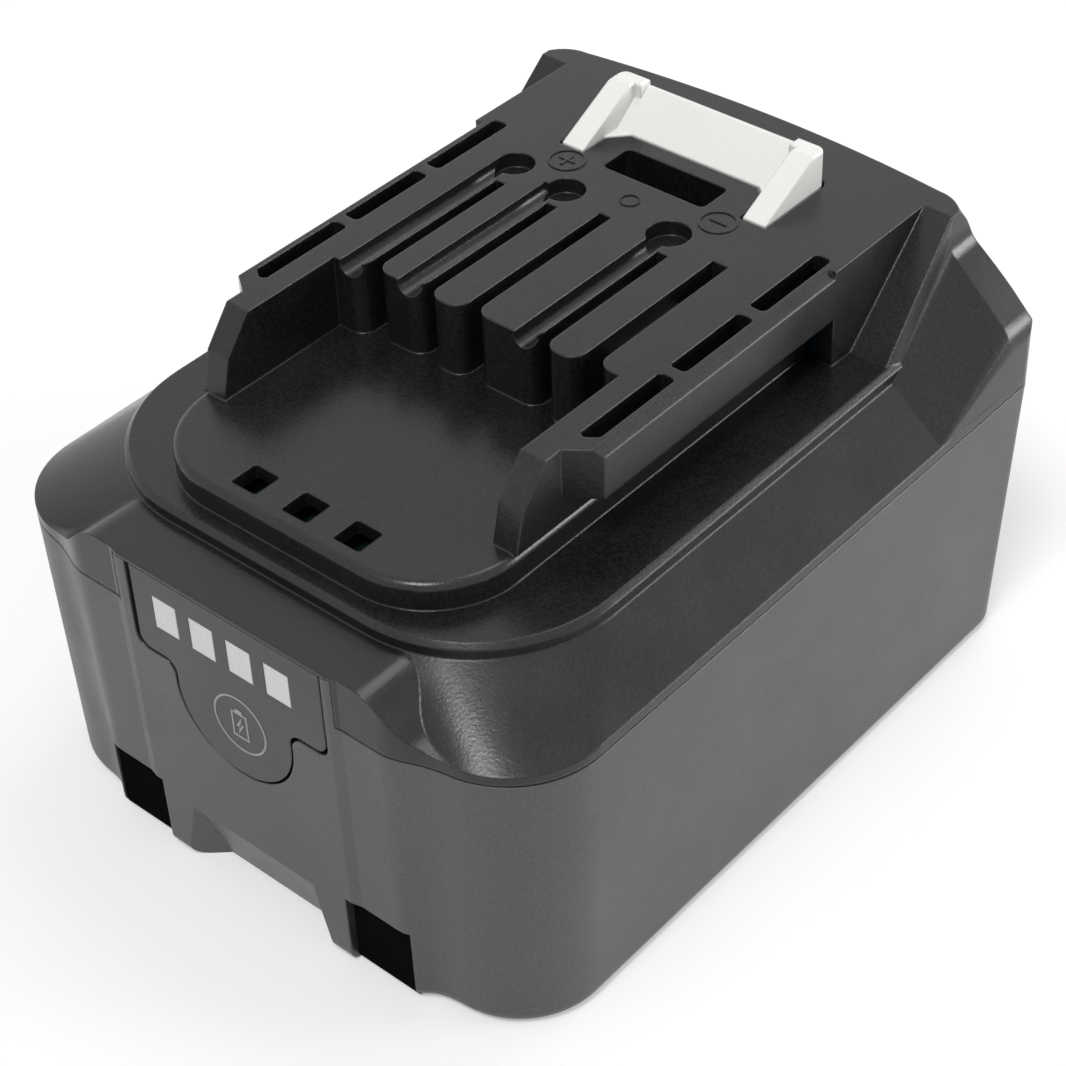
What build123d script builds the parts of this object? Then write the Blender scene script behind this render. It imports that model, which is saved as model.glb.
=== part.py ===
from build123d import *
from math import cos, radians, sin
import os

os.makedirs("parts", exist_ok=True)

# Cells that the cases are built round: two layers of three
cell_r = 9.15
cell_len = 65.0
cell_gap_x = 0.3
cell_gap_z = 0.05
floor_t = 1.5
cell_pitch_x = 2 * cell_r + cell_gap_x
cell_pitch_z = 2 * cell_r + cell_gap_z
cell_low_z = floor_t + cell_gap_z + cell_r
cell_high_z = cell_low_z + cell_pitch_z
cell_top_z = cell_high_z + cell_r
cell_front_y = -31.5
cell_back_y = cell_front_y + cell_len
cell_fit = 0.15
cell_nub_r = 3.2
cell_nub_h = 0.6
cell_bead_w = 1.2
cell_bead_y = 4.0
cell_bead_d = 0.5
cell_rim = 0.5

# Heights of the outer shape: the parting line lies below the top of the cells
part_drop = 5.6
skirt_h = 1.1
shoulder_h = 5.0
terrace_h = 1.6
platform_h = 3.0
groove_h = 2.6
flange_h = 5.5
prong_h = 4.0
z_part = cell_top_z - part_drop
z_crease = z_part + skirt_h
z_foot = z_crease + shoulder_h
z_ledge = z_foot + terrace_h
z_platform = z_ledge + platform_h
z_groove_top = z_platform + groove_h
z_deck = z_groove_top + flange_h
z_latch = z_deck + prong_h
seam_half = 0.12
over_cut = 4.0
skin = 0.02
round_shares = (1.0, 0.6, 0.3)

# Body outline in plan at the parting line
side_room = 6.55
front_room = 9.2
rear_room = 7.2
front_set = 1.95
half_w = cell_pitch_x + cell_r + side_room
panel_y = cell_front_y - front_room
front_y = panel_y + front_set
rear_y = cell_back_y + rear_room
panel_flat_x = 13.3
panel_step_x = 14.5
panel_step = 0.3
flank_x = 19.0
flank_turn = 7.5
flank_shares = (0.42, 0.35)
corner_r = 10.2
corner_c = (half_w - corner_r, front_y + corner_r)
rear_corner_r = 2.0
rear_flare = 0.6
rear_bow = 0.3
beyond = 6.3
beyond_y = rear_y + beyond

# The same outline at the base, drawn in by the taper of the mould
base_side_in = 0.85
base_panel_in = 0.3
base_front_in = 0.64
base_corner_r = 9.3
base_rear_r = 3.0
base_flank_shares = (0.42, 0.62)
base_round = 1.6
part_outline = (half_w, panel_y, front_y, corner_r, rear_y + rear_flare, rear_corner_r, flank_shares)
base_outline = (
    half_w - base_side_in,
    panel_y + base_panel_in,
    front_y + base_front_in,
    base_corner_r,
    rear_y,
    base_rear_r,
    base_flank_shares,
)

# Walls and the room inside the two cases
wall = 1.8
rear_wall = 1.9
platform_wall = 1.6
deck_wall = 1.8
slope_wall = 1.4
crease_wall = 0.5
side_wall = 2.2
front_wall = 2.75
inner_r = 7.5
inner_x = half_w - side_wall
inner_c = (inner_x - inner_r, front_y + front_wall + inner_r)
inner_back_y = rear_y - rear_wall
inner_back_r = 3.0
inner_crease_z = z_crease - crease_wall
inner_foot_z = z_foot - platform_wall
lip_t = 0.9
lip_gap = 0.1
lip_top_z = z_crease - lip_gap

# Terrace, front hill and platform
terrace_in = 6.3
terrace_set = 4.25
terrace_r = 15.5
terrace_rim = 0.5
terrace_x = half_w - terrace_in
terrace_c = (terrace_x - terrace_r, front_y + terrace_set + terrace_r)
inner_foot_r = terrace_r - slope_wall
hill_drops = [(16.2, 0), (18.0, 0.45), (19.8, 1.75), (21.3, 3.2), (23.2, 4.2), (25.8, 4.8), (30.0, 5.7)]
hill_pts = [(x, z_foot - drop) for x, drop in hill_drops]
hill_len = 14.7
hill_back_y = panel_y + hill_len
platform_x = 19.8
platform_r = 10.0
platform_set = 6.45
platform_rim = 0.8
platform_front_y = front_y + platform_set
platform_c = (platform_x - platform_r, platform_front_y + platform_r)
chamber_x = platform_x - platform_wall
chamber_r = platform_r - platform_wall
chamber_front_y = platform_front_y + platform_wall
hole_side = 3.2
hole_pitch = 6.5
hole_set = 3.4
hole_y = platform_front_y + hole_set
hole_shift = 0.3

# Rails, deck block and wings
rail_x = 22.9
rail_in_x = 17.0
rail_chamfer = 0.9
flange_front_y = -18.1
flange_side_y = -13.7
web_run = 3.1
web_foot_run = 4.2
web_knee_h = 4.3
web_front = [
    (flange_front_y, z_deck),
    (flange_front_y - web_run, z_platform + web_knee_h),
    (flange_front_y - web_foot_run, z_platform),
]
block_len = 19.6
block_y = rear_y - block_len
wing_x = 26.3
wing_drop = 3.9
wing_hip_h = 7.4
wing_len = 4.8
wing_toe_len = 16.5
wing_shoulder_z = z_deck - wing_drop
wing_hip_z = z_part + wing_hip_h
wing_y = rear_y - wing_len
wing_toe_y = rear_y - wing_toe_len
wing_root_x = 18.0
toe_x = [27.3, 27.9, 34.2]
toe_rise = 0.05
wing_toe = list(zip(toe_x, [z_ledge, z_foot + toe_rise, z_crease + toe_rise]))
wing_full = [(wing_x, z_deck), (wing_x, wing_shoulder_z), (half_w, wing_hip_z)]
toe_rounds = [0.3, 0.3]
full_rounds = [3.0, 3.5]
deck_rear_x = 26.9
deck_rear_r = 4.2
deck_rear_in = 1.7
deck_bow_in = 0.1
slot_x = 20.5
slot_w = 1.9
slot_depth = 4.2
slot_round = 0.6
slot_spans = [(-13.9, -12.5, -1.7), (-0.4, -0.4, 10.1), (11.6, 11.6, 22.5)]

# Deck comb between the rails: open slits, finger fronts and shallow troughs
comb_set = 0.7
comb_back_y = block_y - comb_set
slit_spans = [
    (-13.6, -12.3, 13.7),
    (-6.8, -5.4, 13.6),
    (-1.5, 0.0, 15.4),
    (7.2, 8.6, 13.5),
    (12.4, 14.3, 15.5),
]
finger_fronts = [
    (-rail_in_x, -13.6, -6.4),
    (-12.3, -6.8, -5.4),
    (-5.4, -1.5, -5.6),
    (0.0, 7.2, -5.0),
    (8.6, 12.4, -5.2),
    (14.3, rail_in_x, -4.4),
]
trough_spans = [(-16.2, -13.9, -14.1, 2.1, 17.2), (-9.5, -7.1, -6.9, 2.15, 16.5), (4.9, 7.0, 6.2, 2.3, 16.6)]
trough_depth = 1.5
bulb_depth = 1.7
finger_round = 1.6

# Latch hook, measured from the rear of the case
latch_set = 7.3
prong_len = 10.1
cross_t = 4.6
cross_slant_run = 2.1
ramp_len = 7.9
cross_top_run = 4.2
cross_drop = 0.7
prong_x = (10.2, 12.9)
prong_back_y = rear_y - latch_set
prong_tip_y = prong_back_y - prong_len
cross_y = prong_back_y - cross_t
cross_slant = [(8.2, cross_y), (prong_x[0], cross_y - cross_slant_run)]
ramp_top_y = prong_tip_y + ramp_len
cross_top_y = cross_y + cross_top_run
cross_top_z = z_latch - cross_drop
prong_turn_x = 9.4
prong_turn_len = 1.6
prong_rear_r = 1.0
prong_edge_r = 0.3
latch_gap = 0.3
latch_low_z = z_deck - wing_drop
latch_plate_t = 1.9
latch_plate_x = 14.0
plate_front_set = 0.6
plate_rear_gap = 0.6
latch_plate_y = (cross_y - plate_front_set, inner_back_y - plate_rear_gap)
latch_room_x = rail_x - wall
latch_room_set = 0.3
latch_room_y = block_y - latch_room_set

# Pocket in front of the latch
pocket_x = (-6.8, 6.05)
pocket_set = 2.3
pocket_len = 4.3
pocket_y = (cross_y - pocket_set - pocket_len, cross_y - pocket_set)
pocket_depth = 4.6
pocket_wall = 1.1
pocket_round = 0.7

# Release button in the rear wall, with the springs under the latch plate
travel = 4.2
window_gap = 0.3
button_x = 12.2
button_drops = (11.8, 3.5)
button_z = (z_deck - button_drops[0], z_deck - button_drops[1])
button_round = 1.2
button_set = 0.1
button_front_y = rear_y + button_set
button_flange_t = 0.4
button_flange_x = 13.2
button_flange_drops = (16.5, 2.1)
button_flange_z = (z_deck - button_flange_drops[0], z_deck - button_flange_drops[1])
button_peg_r = 0.8
button_peg_len = 2.0
button_peg_x = 9.0
button_rib_pitch = 1.6
button_rib_t = 0.7
spring_x = 8.0
spring_set = 2.6
spring_y = cell_back_y + spring_set
spring_r = 1.7
spring_wire = 0.45
shelf_drop = 4.2
shelf_z = cell_top_z - shelf_drop
shelf_t = 1.4
shelf_x = 12.0
shelf_gap = 0.9
shelf_y = inner_back_y - shelf_gap
peg_r = 1.0
peg_h = 1.5

# Case screws, driven from below into long posts of the upper case
screw_front_in = (9.1, 4.75)
screw_rear_in = (5.3, 4.3)
screw_pts = [
    (half_w - screw_front_in[0], front_y + screw_front_in[1]),
    (half_w - screw_rear_in[0], rear_y - screw_rear_in[1]),
]
post_r = 1.9
post_foot_r = 2.5
post_foot_z = 4.2
post_low_z = 8.8
post_gap = 0.1
post_rise = [1.8, 5.4]
screw_r = 1.0
screw_gap = 0.15
screw_len = 14.5
screw_head_r = 1.9
screw_head_h = 1.9
screw_head_z = 1.1
screw_drive_r = 1.0
screw_drive_d = 1.1

# Front of the lower case: tongue round the gauge, recessed pads and the finger scoop
tongue_x = 13.85
tongue_gap = 0.1
tongue_drop = 0.5
tongue_top_z = z_foot - tongue_drop
tongue_back_y = panel_y + wall
lip_roof_z = tongue_top_z + seam_half
notch_x = (12.5, 20.3)
notch_top_z = 9.3
notch_depth = 3.7
notch_back_y = panel_y + notch_depth
pad_gap = 0.05
pad_t = 2.5
pad_round = 0.8
scoop_top_x = 8.3
scoop_low_x = 10.7
scoop_in_x = 7.0
scoop_top_z = 8.9
scoop_depth = 3.2

# Gauge insert, hinged along its top edge
gauge_x = (-11.7, 12.5)
gauge_drops = (10.4, 0.6)
gauge_z = (z_foot - gauge_drops[0], z_foot - gauge_drops[1])
gauge_left_gap = 0.6
gauge_gap = 0.3
lobe_drop = 2.3
lobe_c = (0.3, gauge_z[0] - lobe_drop)
lobe_r = 7.4
gauge_round = 1.4
insert_set = 0.1
insert_y = panel_y + insert_set
insert_t = 1.6
pin_r = 0.5
pin_fit = 0.05
pin_set = 0.8
pin_drop = 0.9
pin_y = insert_y + pin_set
pin_z = gauge_z[1] - pin_drop
pin_reach = 0.5
window_w = 3.05
window_h = 3.8
window_count = 4
window_pitch = 4.82
window_x0 = -7.5
window_rise = 5.4
window_z = gauge_z[0] + window_rise
window_xs = [window_x0 + number * window_pitch for number in range(window_count)]
window_back = 0.5
window_rim = 0.45
press_drop = 3.1
press_z = gauge_z[0] - press_drop
plunger_r = 1.0
plunger_room = 0.3
gauge_room_x = 13.0
gauge_room_drop = 10.4
gauge_room_z = gauge_z[0] - gauge_room_drop
board_set = 3.3
board_y = panel_y + board_set
board_t = 1.2
board_drop = 1.5
board_top_z = gauge_z[1] - board_drop
board_x = 12.4
led_w = 1.8
led_t = 0.6
switch_side = 4.5
switch_t = 0.75
plunger_rest = 0.65
switch_front_y = board_y - switch_t
plunger_tip_y = board_y - plunger_rest
baffle_w = 18.6
baffle_h = 5.0

# Cell frames and nickel links
frame_t = 6.0
frame_skin = 0.55
frame_x = cell_pitch_x + cell_r + frame_skin
frame_low_z = floor_t + cell_gap_z
frame_side_z = cell_high_z - cell_gap_z
frame_top_in = 3.75
frame_top_drop = 5.0
frame_top = (cell_pitch_x + cell_r - frame_top_in, cell_top_z - frame_top_drop)
frame_fit = 0.05
frame_plate_t = 1.2
frame_plate_in = [5.9, 1.9]
frame_window_in = 2.65
frame_window_r = cell_r - frame_window_in
link_t = 0.2
link_w = 8.0
link_foot = 4.95
link_top_drop = 6.7
link_arm_h = 4.5
link_z = (cell_low_z - cell_r + link_foot, cell_top_z - link_top_drop)
link_arm_z = (link_z[1] - link_arm_h, link_z[1])

# Circuit board, leads, contacts and sensor
sheet_t = 0.35
sheet_gap = 0.05
main_board_in = 0.8
main_board_x = chamber_x - main_board_in
main_board_set = 3.7
main_board_over = 3.3
main_board_y = (platform_front_y + main_board_set, block_y + main_board_over)
main_board_z = cell_top_z + sheet_t + 2 * sheet_gap
main_board_t = 1.2
main_board_r = 8.0
lead_x = cell_pitch_x / 2
lead_drop = 3.2
lead_z = cell_top_z - lead_drop
lead_r = 0.55
lead_run = (7.5, 12.5)
lead_rise_y = (cell_front_y + lead_run[0], cell_front_y + lead_run[1])
lead_bend = 3.0
contact_back = 10.1
contact_len = 10.0
contact_foot_in = 2.0
contact_y = (block_y - contact_back - contact_len, block_y - contact_back)
contact_base_y = (contact_y[0] + contact_foot_in, contact_y[1] - contact_foot_in)
contact_drop = 2.8
contact_step = 0.7
contact_top_z = z_deck - contact_drop
contact_base_top_z = z_platform + contact_step
contact_half = 0.55
contact_leaf = 0.28
contact_hole_gap = 0.1
chip_t = 0.7
chip_side = 4.0
chip_pitch = (16.0, 8.0)
chip_y = (main_board_y[0] + contact_y[0]) / 2
thermistor_r = 1.1
thermistor_len = 4.0
thermistor_y = 6.0
thermistor_drop = 2.6
thermistor_z = cell_top_z - thermistor_drop
thermistor_leg_r = 0.3
thermistor_leg_gap = 1.3


def plan_outline(w, panel, front, r, rear, rear_r, mid_shares):
    """Closed body outline with the proud front panel, right half mirrored."""
    side_panel = panel + panel_step
    turn = radians(flank_turn)
    end = (w - r + r * sin(turn), front + r - r * cos(turn))
    mid = (flank_x + mid_shares[0] * (end[0] - flank_x), side_panel + mid_shares[1] * (end[1] - side_panel))
    rear_side = rear - rear_bow
    bow_r = ((w - rear_r) ** 2 + rear_bow**2) / (2 * rear_bow)
    with BuildSketch() as sk:
        with BuildLine():
            a = Line((0, panel), (panel_flat_x, panel))
            b = Line(a @ 1, (panel_step_x, side_panel))
            c = Line(b @ 1, (flank_x, side_panel))
            d = Spline(c @ 1, mid, end, tangents=((1, 0), (cos(turn), sin(turn))))
            e = RadiusArc(d @ 1, (w, front + r), -r)
            f = Line(e @ 1, (w, rear_side - rear_r))
            g = RadiusArc(f @ 1, (w - rear_r, rear_side), -rear_r)
            h = RadiusArc(g @ 1, (0, rear), -bow_r)
            Line(h @ 1, a @ 0)
        make_face()
        mirror(about=Plane.YZ)
    return sk.sketch


def finish(part, label):
    """Name a finished piece and write it."""
    part.label = label
    export_step(part, "parts/" + label + ".step")
    if len(part.solids()) == 0 or part.volume <= 0:
        print("empty piece:", label)


def rounded_front(x, c, r, back_y, back_r=0.0):
    """Plan shape with two round front corners, and rear corners of their own radius."""
    with BuildSketch() as sk:
        with BuildLine():
            p0 = (-c[0], c[1] - r)
            p1 = (c[0], c[1] - r)
            Line(p0, p1)
            RadiusArc(p1, (x, c[1]), -r)
            Line((x, c[1]), (x, back_y))
            Line((x, back_y), (-x, back_y))
            Line((-x, back_y), (-x, c[1]))
            RadiusArc((-x, c[1]), p0, -r)
        make_face()
        if back_r > 0:
            fillet(sk.vertices().group_by(Axis.Y)[-1], radius=back_r)
    return sk.sketch


def box_plan(x0, x1, y0, y1):
    """Rectangle between two corners, on the sketch being drawn."""
    with Locations(((x0 + x1) / 2, (y0 + y1) / 2)):
        Rectangle(x1 - x0, y1 - y0)


def soften(edges, radius, name):
    """Round edges, with a smaller radius where the form has no room for it."""
    for share in round_shares:
        try:
            fillet(edges, radius=radius * share)
            return
        except Exception:
            continue
    print("not rounded:", name)


def wing_section(side, edge_pts, top_z, rounds):
    """Cross-section of a wing, rounded at its shoulder and its hip."""
    low_z = z_part + seam_half
    pts = [(wing_root_x, top_z)] + edge_pts + [(edge_pts[-1][0], low_z), (wing_root_x, low_z)]
    with BuildSketch() as sk:
        with BuildLine():
            Polyline(*[(side * x, z) for x, z in pts], close=True)
        make_face()
        for (x, z), r in zip(edge_pts[1:], rounds):
            fillet(sk.vertices().sort_by_distance((side * x, z))[0], radius=r)
    return sk.sketch


def tent_plan(x, c, r):
    """Front and side edges of one level of the sloped shoulder."""
    return rounded_front(x, c, r, beyond_y)


def rear_plan(x, corner_y, r, side_y, middle_y):
    """Plan with a bowed rear edge and two rear corners, open-ended towards the front."""
    with BuildSketch() as sk:
        with BuildLine():
            a = Line((x, panel_y - over_cut), (x, corner_y))
            b = RadiusArc(a @ 1, (x - r, side_y), -r)
            c = ThreePointArc(b @ 1, (0, middle_y), (r - x, side_y))
            d = RadiusArc(c @ 1, (-x, corner_y), -r)
            e = Line(d @ 1, (-x, panel_y - over_cut))
            Line(e @ 1, a @ 0)
        make_face()
    return sk.sketch


# Rear form that trims the wings: it leans in from the hip up to the deck
with BuildPart() as rear_limit:
    hip_side_y = rear_y + rear_flare - rear_bow
    hip_corner_y = hip_side_y - rear_corner_r
    hip_plan = rear_plan(half_w, hip_corner_y, rear_corner_r, hip_side_y, rear_y + rear_flare)
    deck_side_y = rear_y - deck_rear_in
    deck_corner_y = deck_side_y - deck_rear_r
    deck_plan = rear_plan(deck_rear_x, deck_corner_y, deck_rear_r, deck_side_y, rear_y - deck_bow_in)
    with BuildSketch(Plane.XY.offset(z_part)):
        add(hip_plan)
    extrude(amount=wing_hip_h)
    with BuildSketch(Plane.XY.offset(wing_hip_z)):
        add(hip_plan)
    with BuildSketch(Plane.XY.offset(z_deck)):
        add(deck_plan)
    loft(ruled=True)

# Upper case: shoulder, terrace, platform, rails and the deck block with its wings
with BuildPart() as upper_case:
    with BuildSketch(Plane.XY.offset(z_part + seam_half)):
        add(tent_plan(half_w, corner_c, corner_r))
    extrude(amount=z_crease - z_part - seam_half)
    with BuildSketch(Plane.XY.offset(z_crease)):
        add(tent_plan(half_w, corner_c, corner_r))
    with BuildSketch(Plane.XY.offset(z_foot)):
        add(tent_plan(terrace_x, terrace_c, terrace_r))
    loft(ruled=True)
    with BuildSketch(Plane.XZ.offset(-hill_back_y)):
        with BuildLine():
            a = Line((0, hill_pts[0][1]), hill_pts[0])
            b = Spline(*hill_pts, tangents=((1, 0), (1, -0.3)))
            c = Polyline(b @ 1, (hill_pts[-1][0], z_part + seam_half), (0, z_part + seam_half))
            Line(c @ 1, a @ 0)
        make_face()
        mirror(about=Plane.YZ)
    extrude(amount=hill_back_y - panel_y + over_cut)
    with BuildSketch(Plane.XY.offset(z_part)):
        add(plan_outline(*part_outline))
    extrude(amount=z_latch - z_part, mode=Mode.INTERSECT)

    with BuildSketch(Plane.XY.offset(z_foot)):
        add(tent_plan(terrace_x, terrace_c, terrace_r))
    extrude(amount=terrace_h - terrace_rim)
    with BuildSketch(Plane.XY.offset(z_ledge - terrace_rim)):
        add(tent_plan(terrace_x, terrace_c, terrace_r))
    with BuildSketch(Plane.XY.offset(z_ledge)):
        add(tent_plan(terrace_x - terrace_rim, terrace_c, terrace_r - terrace_rim))
    loft(ruled=True)
    with BuildSketch(Plane.XY.offset(z_ledge)):
        add(rounded_front(platform_x, platform_c, platform_r, beyond_y))
    extrude(amount=z_platform - z_ledge)
    with BuildSketch(Plane.XY.offset(z_ledge)):
        box_plan(-rail_x, rail_x, block_y, beyond_y)
    extrude(amount=z_deck - z_ledge)
    for side in (-1, 1):
        with BuildSketch(Plane.XZ.offset(-wing_toe_y)):
            add(wing_section(side, wing_toe, z_ledge, toe_rounds))
        with BuildSketch(Plane.XZ.offset(-wing_y)):
            add(wing_section(side, wing_full, z_deck, full_rounds))
        loft(ruled=True)
        with BuildSketch(Plane.XZ.offset(-wing_y)):
            add(wing_section(side, wing_full, z_deck, full_rounds))
        extrude(amount=wing_y - beyond_y)
    with BuildSketch(Plane.XY.offset(z_part)):
        add(plan_outline(*part_outline))
    extrude(amount=z_latch - z_part, mode=Mode.INTERSECT)
    add(rear_limit.part, mode=Mode.INTERSECT)


def pick(test):
    """Edges of the open part whose box passes the test."""
    return ShapeList([e for e in edges() if test(e.bounding_box())])


def inner_plan(grow=0.0):
    """Plan of the room inside the cases, or that room grown evenly."""
    return rounded_front(inner_x + grow, inner_c, inner_r + grow, inner_back_y + grow, inner_back_r + grow)


def latch_plan(gap=0.0):
    """U of the latch at deck level: two prongs and the wall between them."""
    with BuildSketch() as sk:
        for side in (-1, 1):
            x0, x1 = sorted((side * prong_x[0], side * prong_x[1]))
            box_plan(x0, x1, prong_tip_y, prong_back_y)
        box_plan(-prong_x[0], prong_x[0], cross_y, prong_back_y)
        for side in (-1, 1):
            with BuildLine():
                Polyline(*[(side * x, y) for x, y in cross_slant], (side * prong_x[0], cross_y), close=True)
            make_face()
        rear = sk.vertices().filter_by(lambda v: abs(v.X) > prong_x[1] - skin and v.Y > prong_back_y - skin)
        fillet(rear, radius=prong_rear_r)
        if gap > 0:
            offset(amount=gap, kind=Kind.INTERSECTION)
    return sk.sketch


def gauge_plan(gap=0.0):
    """Front view of the gauge insert: the lamp strip with the round press lobe below it."""
    with BuildSketch() as sk:
        left_gap = gauge_left_gap if gap > 0 else 0
        box_plan(gauge_x[0] - left_gap, gauge_x[1] + gap, gauge_z[0] - gap, gauge_z[1] + gap)
        box_plan(lobe_c[0] - lobe_r - gap, lobe_c[0] + lobe_r + gap, lobe_c[1], gauge_z[0])
        with Locations(lobe_c):
            Circle(lobe_r + gap)
        low = sk.vertices().filter_by(lambda v: abs(v.Y - gauge_z[0] + gap) < skin)
        fillet(low, radius=gauge_round)
    return sk.sketch


with upper_case:
    rim = pick(lambda b: b.min.Z > z_platform - skin and b.max.Z < z_platform + skin and b.min.Y < 0)
    rim = ShapeList([e for e in rim if e.bounding_box().max.Y < block_y + skin])
    soften(rim, platform_rim, "platform rim")

    # Rails: upright web and overhanging flange, with a plain groove below
    for side in (-1, 1):
        with BuildSketch(Plane.YZ.offset(side * rail_in_x)):
            with BuildLine():
                Polyline(*web_front, (block_y, z_platform), (block_y, z_deck), close=True)
            make_face()
        extrude(amount=side * (platform_x - rail_in_x))
        with BuildSketch(Plane.XY.offset(z_groove_top)):
            with BuildLine():
                inner = Polyline((side * rail_in_x, block_y), (side * rail_in_x, flange_front_y))
                outer = Polyline(inner @ 1, (side * rail_x, flange_side_y), (side * rail_x, block_y))
                Line(outer @ 1, inner @ 0)
            make_face()
        extrude(amount=flange_h)
        with BuildSketch(Plane.XZ.offset(-block_y)):
            with BuildLine():
                bevel_in = (side * (rail_x - rail_chamfer), z_deck)
                bevel_out = (side * rail_x, z_deck - rail_chamfer)
                Polyline(bevel_in, (side * rail_x, z_deck), bevel_out, close=True)
            make_face()
        extrude(amount=block_y - flange_front_y, mode=Mode.SUBTRACT)

    # Comb of contact slits between the rails
    with BuildSketch(Plane.XY.offset(z_platform)) as comb:
        for x0, x1, y0 in finger_fronts:
            box_plan(x0, x1, y0, block_y)
        box_plan(-rail_in_x, rail_in_x, comb_back_y - 2 * over_cut, block_y)
        fronts = comb.vertices().filter_by(lambda v: v.Y < -over_cut and abs(v.X) < rail_in_x - skin)
        fillet(fronts, radius=finger_round)
        for x0, x1, y1 in slit_spans:
            with Locations(((x0 + x1) / 2, y1 / 2 - over_cut)):
                Rectangle(x1 - x0, y1 + 2 * over_cut, mode=Mode.SUBTRACT)
    extrude(amount=z_deck - z_platform)

    # Shallow troughs with a round end
    for x0, x1, bulb_x, bulb_r, bulb_y in trough_spans:
        half = (x1 - x0) / 2
        with BuildSketch(Plane.XZ.offset(-bulb_y)):
            with Locations(((x0 + x1) / 2, z_deck - trough_depth + half)):
                Circle(half)
            with Locations(((x0 + x1) / 2, z_deck)):
                Rectangle(2 * half, 2 * (trough_depth - half))
        extrude(amount=bulb_y - flange_side_y, mode=Mode.SUBTRACT)
        with BuildSketch(Plane.XY.offset(z_deck)):
            with Locations((bulb_x, bulb_y)):
                Circle(bulb_r)
        extrude(amount=-bulb_depth, mode=Mode.SUBTRACT)

    # Core slots along both rails
    for side in (-1, 1):
        for y_in, y_out, y1 in slot_spans:
            x_in = side * (slot_x - slot_w / 2)
            x_out = side * (slot_x + slot_w / 2)
            with BuildSketch(Plane.XY.offset(z_deck)) as slot:
                with BuildLine():
                    Polyline((x_in, y_in), (x_out, y_out), (x_out, y1), (x_in, y1), close=True)
                make_face()
                fillet(slot.vertices(), radius=slot_round)
            extrude(amount=-slot_depth, mode=Mode.SUBTRACT)

    # Three square drain holes in the platform
    with BuildSketch(Plane.XY.offset(z_platform)):
        with Locations((hole_shift, hole_y)):
            with GridLocations(hole_pitch, hole_pitch, 3, 1):
                RectangleRounded(hole_side, hole_side, radius=slot_round / 2)
    extrude(amount=-platform_wall - over_cut, mode=Mode.SUBTRACT)

    # Room for the cells, with a scallop over each upper cell
    with BuildSketch(Plane.XY.offset(z_part)):
        add(inner_plan())
    extrude(amount=inner_crease_z - z_part, mode=Mode.SUBTRACT)
    with BuildSketch(Plane.XY.offset(inner_crease_z)):
        add(rounded_front(inner_x, inner_c, inner_r, inner_back_y))
    with BuildSketch(Plane.XY.offset(inner_foot_z)):
        add(rounded_front(terrace_c[0] + inner_foot_r, terrace_c, inner_foot_r, inner_back_y))
    loft(ruled=True, mode=Mode.SUBTRACT)
    with BuildSketch(Plane.XZ.offset(-cell_front_y)):
        for column in (-1, 0, 1):
            with Locations((column * cell_pitch_x, cell_low_z + cell_pitch_z)):
                Circle(cell_r + cell_fit)
    extrude(amount=cell_front_y - inner_back_y, mode=Mode.SUBTRACT)

    # Room for the circuit board under the platform and for the latch under the deck
    with BuildSketch(Plane.XY.offset(z_part)):
        chamber_c = (chamber_x - chamber_r, chamber_front_y + chamber_r)
        add(rounded_front(chamber_x, chamber_c, chamber_r, inner_back_y))
    extrude(amount=z_platform - platform_wall - z_part, mode=Mode.SUBTRACT)
    with BuildSketch(Plane.XY.offset(z_part)):
        box_plan(-latch_room_x, latch_room_x, latch_room_y, inner_back_y)
    extrude(amount=z_deck - deck_wall - z_part, mode=Mode.SUBTRACT)

    # Room for the gauge and for the raised tongue of the lower case
    with BuildSketch(Plane.XY.offset(z_part)):
        box_plan(-gauge_room_x, gauge_room_x, tongue_back_y, corner_c[1])
    extrude(amount=inner_foot_z - z_part, mode=Mode.SUBTRACT)
    with BuildSketch(Plane.XY.offset(z_part)):
        tongue_room_x = tongue_x + tongue_gap
        box_plan(-tongue_room_x, tongue_room_x, panel_y - over_cut, tongue_back_y + tongue_gap)
    extrude(amount=lip_roof_z - z_part, mode=Mode.SUBTRACT)
    with BuildSketch(Plane.XY.offset(z_part)):
        add(inner_plan(lip_t + lip_gap))
    extrude(amount=lip_top_z + lip_gap - z_part, mode=Mode.SUBTRACT)

    # Blind pocket in front of the latch
    with BuildSketch(Plane.XY.offset(z_deck)):
        pocket_back_y = pocket_y[1] + pocket_wall
        box_plan(pocket_x[0] - pocket_wall, pocket_x[1] + pocket_wall, latch_room_y, pocket_back_y)
    extrude(amount=-pocket_depth - pocket_wall)
    with BuildSketch(Plane.XY.offset(z_deck)) as pocket:
        box_plan(*pocket_x, *pocket_y)
        fillet(pocket.vertices(), radius=pocket_round)
    extrude(amount=-pocket_depth, mode=Mode.SUBTRACT)

    # Slot for the latch and window for its button
    with BuildSketch(Plane.XY.offset(z_deck)):
        add(latch_plan(latch_gap))
    extrude(amount=-deck_wall - over_cut / 2, mode=Mode.SUBTRACT)
    window_low_z = button_z[0] - travel - window_gap
    with BuildSketch(Plane.XZ.offset(-inner_back_y + wall)):
        with Locations((0, (window_low_z + button_z[1] + window_gap) / 2)):
            window_high = button_z[1] + window_gap - window_low_z
            RectangleRounded(2 * (button_x + window_gap), window_high, radius=button_round + window_gap)
    extrude(amount=-over_cut - wall, mode=Mode.SUBTRACT)

    # Contact holes down to the circuit board
    with BuildSketch(Plane.XY.offset(z_platform)):
        for x0, x1, y1 in slit_spans:
            half = contact_half + contact_hole_gap
            mid = (x0 + x1) / 2
            hole_y0 = contact_base_y[0] - contact_hole_gap
            box_plan(mid - half, mid + half, hole_y0, contact_base_y[1] + contact_hole_gap)
    extrude(amount=-platform_wall - skin, mode=Mode.SUBTRACT)

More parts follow.
